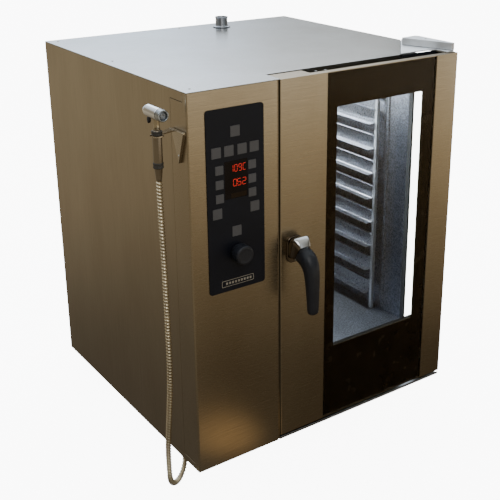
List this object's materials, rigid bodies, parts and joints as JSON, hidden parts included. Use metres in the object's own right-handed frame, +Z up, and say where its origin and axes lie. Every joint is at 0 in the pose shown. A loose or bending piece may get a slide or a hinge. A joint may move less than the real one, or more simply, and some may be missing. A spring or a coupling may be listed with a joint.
{
  "type": "combi steamer oven",
  "caption": "Upright steel combi steamer oven: side control column with keys, display and knob, hinged glass door with lever handle, tray racks, fan and spray handset.",
  "frame": {"origin": "middle of the oven outline in plan, with the handset and handle counted, on the floor plane under the feet", "axes": "+X to the right seen from the front, +Y to the rear, +Z up"},
  "size_m": [0.9314, 0.9383, 1.097],
  "materials": {
    "steel": "brushed grain, warm reflections, fine scratches",
    "liner_steel": "satin stainless, lightly brushed",
    "chrome": "polished plate",
    "zinc": "zinc plated, satin",
    "black_plastic": "fine moulded texture",
    "membrane": "satin film with a fine emboss",
    "key_plastic": "satin film, slightly domed",
    "display_glass": "dark tinted window",
    "display_digits": "glowing red segments",
    "door_glass": "tempered pane with a black printed border",
    "clear_glass": "clear toughened glass",
    "gasket_rubber": "matte silicone",
    "cast_aluminium": "fine cast grain, satin",
    "circuit_board": "solder mask",
    "mineral_wool": "fibrous mat",
    "handset_metal": "satin bronze-grey sleeve with dark collars",
    "hose_metal": "spiral-wound metal sheath"
  },
  "bodies": {
    "root": {"left_side_panel": "steel", "right_side_panel": "steel", "rear_panel": "steel", "top_cover": "steel", "base_pan": "zinc", "front_left_foot": "zinc", "front_right_foot": "zinc", "rear_left_foot": "zinc", "rear_right_foot": "zinc", "control_fascia": "steel", "control_membrane": "membrane", "display_window": "display_glass", "control_board": "circuit_board", "front_frame": "liner_steel", "cavity_liner": "liner_steel", "insulation_jacket": "mineral_wool", "door_gasket": "gasket_rubber", "fan_baffle": "liner_steel", "right_tray_rack": "liner_steel", "left_tray_rack": "liner_steel", "cavity_lamp": "clear_glass", "fan_motor": "cast_aluminium", "heater_ring": "liner_steel", "vent_pipe": "liner_steel", "drain_pipe": "liner_steel", "water_inlet": "zinc", "power_gland": "black_plastic", "lower_hinge_plate": "zinc", "upper_hinge_bracket": "cast_aluminium", "drip_tray": "steel", "latch_strike": "zinc", "handset_holder": "liner_steel", "spray_hose": "hose_metal", "hose_inlet": "chrome"},
    "door": {"door_frame": "steel", "outer_glass": "door_glass", "inner_glass": "clear_glass"},
    "handle": {"handle_neck": "chrome", "handle_grip": "black_plastic", "latch_cam": "zinc"},
    "knob": {"control_knob": "black_plastic"},
    "fan": {"fan_wheel": "liner_steel"},
    "handset": {"spray_head": "chrome", "handset_body": "handset_metal"},
    "trigger": {"spray_trigger": "black_plastic"},
    "key_power": {"key_power": "key_plastic"},
    "key_mode_1": {"key_mode_1": "key_plastic"},
    "key_mode_2": {"key_mode_2": "key_plastic"},
    "key_mode_3": {"key_mode_3": "key_plastic"},
    "key_mode_4": {"key_mode_4": "key_plastic"},
    "key_left_1": {"key_left_1": "key_plastic"},
    "key_right_1": {"key_right_1": "key_plastic"},
    "key_left_2": {"key_left_2": "key_plastic"},
    "key_right_2": {"key_right_2": "key_plastic"},
    "key_left_3": {"key_left_3": "key_plastic"},
    "key_right_3": {"key_right_3": "key_plastic"},
    "key_back": {"key_back": "key_plastic"},
    "key_next": {"key_next": "key_plastic"},
    "key_start": {"key_start": "key_plastic"}
  },
  "joints": [
    {"name": "door_hinge", "type": "hinge", "parent": "root", "child": "door", "pos_m": [0.4475, -0.33315, 0.564], "axis": [0, 0, 1], "range_deg": [0, 180]},
    {"name": "handle_turn", "type": "hinge", "parent": "door", "child": "handle", "pos_m": [-0.0905, -0.37315, 0.616], "axis": [0, -1, 0], "range_deg": [0, 90]},
    {"name": "knob_turn", "type": "hinge", "parent": "root", "child": "knob", "pos_m": [-0.2637, -0.37315, 0.654], "axis": [0, 1, 0], "continuous": true},
    {"name": "fan_spin", "type": "hinge", "parent": "root", "child": "fan", "pos_m": [-0.1265, 0.05685, 0.606], "axis": [1, 0, 0], "continuous": true},
    {"name": "handset_lift", "type": "slide", "parent": "root", "child": "handset", "axis": [0, 0, 1], "range_m": [0, 0.055]},
    {"name": "trigger_pull", "type": "hinge", "parent": "handset", "child": "trigger", "pos_m": [-0.4505, -0.30815, 1.0035], "axis": [-1, 0, 0], "range_deg": [0, 18], "stiffness_Nm_per_rad": 0.2},
    {"name": "press_power", "type": "slide", "parent": "root", "child": "key_power", "axis": [0, 1, 0], "range_m": [0, 0.0008], "stiffness_N_per_m": 900},
    {"name": "press_mode_1", "type": "slide", "parent": "root", "child": "key_mode_1", "axis": [0, 1, 0], "range_m": [0, 0.0008], "stiffness_N_per_m": 900},
    {"name": "press_mode_2", "type": "slide", "parent": "root", "child": "key_mode_2", "axis": [0, 1, 0], "range_m": [0, 0.0008], "stiffness_N_per_m": 900},
    {"name": "press_mode_3", "type": "slide", "parent": "root", "child": "key_mode_3", "axis": [0, 1, 0], "range_m": [0, 0.0008], "stiffness_N_per_m": 900},
    {"name": "press_mode_4", "type": "slide", "parent": "root", "child": "key_mode_4", "axis": [0, 1, 0], "range_m": [0, 0.0008], "stiffness_N_per_m": 900},
    {"name": "press_left_1", "type": "slide", "parent": "root", "child": "key_left_1", "axis": [0, 1, 0], "range_m": [0, 0.0008], "stiffness_N_per_m": 900},
    {"name": "press_right_1", "type": "slide", "parent": "root", "child": "key_right_1", "axis": [0, 1, 0], "range_m": [0, 0.0008], "stiffness_N_per_m": 900},
    {"name": "press_left_2", "type": "slide", "parent": "root", "child": "key_left_2", "axis": [0, 1, 0], "range_m": [0, 0.0008], "stiffness_N_per_m": 900},
    {"name": "press_right_2", "type": "slide", "parent": "root", "child": "key_right_2", "axis": [0, 1, 0], "range_m": [0, 0.0008], "stiffness_N_per_m": 900},
    {"name": "press_left_3", "type": "slide", "parent": "root", "child": "key_left_3", "axis": [0, 1, 0], "range_m": [0, 0.0008], "stiffness_N_per_m": 900},
    {"name": "press_right_3", "type": "slide", "parent": "root", "child": "key_right_3", "axis": [0, 1, 0], "range_m": [0, 0.0008], "stiffness_N_per_m": 900},
    {"name": "press_back", "type": "slide", "parent": "root", "child": "key_back", "axis": [0, 1, 0], "range_m": [0, 0.0008], "stiffness_N_per_m": 900},
    {"name": "press_next", "type": "slide", "parent": "root", "child": "key_next", "axis": [0, 1, 0], "range_m": [0, 0.0008], "stiffness_N_per_m": 900},
    {"name": "press_start", "type": "slide", "parent": "root", "child": "key_start", "axis": [0, 1, 0], "range_m": [0, 0.0008], "stiffness_N_per_m": 900}
  ]
}
